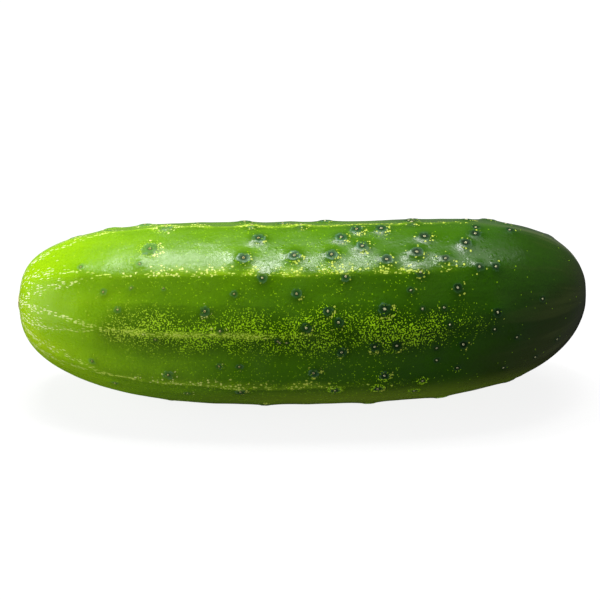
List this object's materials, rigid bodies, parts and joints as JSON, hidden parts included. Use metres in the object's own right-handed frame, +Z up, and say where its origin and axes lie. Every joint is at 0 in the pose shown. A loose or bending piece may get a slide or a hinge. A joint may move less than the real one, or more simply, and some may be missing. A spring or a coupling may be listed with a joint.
{
  "type": "pickling cucumber",
  "caption": "Short, stout pickling cucumber with low ribs and warts, a blossom scab and a stem scar, lying on its side on a small resting flat.",
  "frame": {"origin": "bottom centre of the whole fruit, level with the flat it rests on", "axes": "+X from the blossom end to the stem end, +Z up, -Y the front, and +Y the back, towards which both tips bow slightly"},
  "size_m": [0.125, 0.0416, 0.0399],
  "materials": {
    "cucumber_skin": "waxy natural skin: bright yellow-green at the blossom end, shading to dark olive-green at the stem end, with pale flecks along the ribs"
  },
  "bodies": {
    "root": {"cucumber": "cucumber_skin"}
  },
  "joints": []
}
